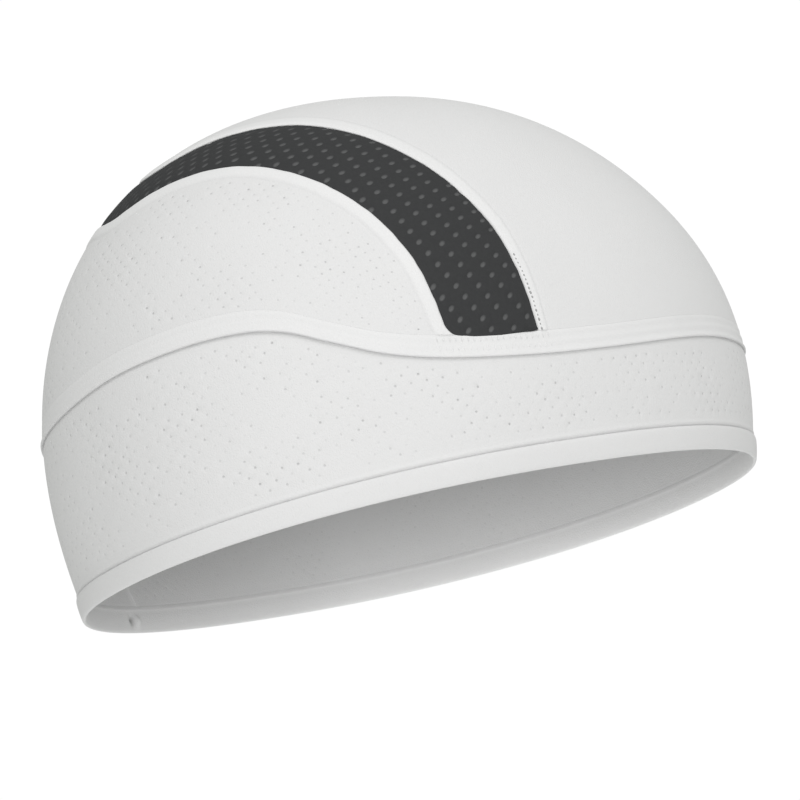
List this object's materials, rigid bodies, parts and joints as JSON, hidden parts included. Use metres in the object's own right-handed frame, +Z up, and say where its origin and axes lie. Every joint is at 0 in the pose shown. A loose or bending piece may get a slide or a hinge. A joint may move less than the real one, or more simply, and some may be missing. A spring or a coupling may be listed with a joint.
{
  "type": "helmet liner cap",
  "caption": "Close-fitting knit skull cap for wear under a helmet, with a perforated band and front panel, a mesh stripe from ear to ear and a folded hem.",
  "frame": {"origin": "inner face of the crown at its highest point, where the cap sits on the head", "axes": "-Y towards the forehead, +Y towards the nape, +X towards the wearer's left ear, +Z up out of the crown"},
  "size_m": [0.152, 0.199, 0.1167],
  "materials": {
    "band_knit": "matte white interlock knit with rows of fine pinholes",
    "seam_tape": "matte white knit, turned and topstitched",
    "dark_mesh": "charcoal air mesh with small oval eyes",
    "crown_knit": "matte white fine knit, smooth"
  },
  "bodies": {
    "root": {"hem": "band_knit", "side_band": "band_knit", "seam_strip": "seam_tape", "front_panel": "band_knit", "mesh_stripe": "dark_mesh", "crown_panel": "crown_knit"}
  },
  "joints": []
}
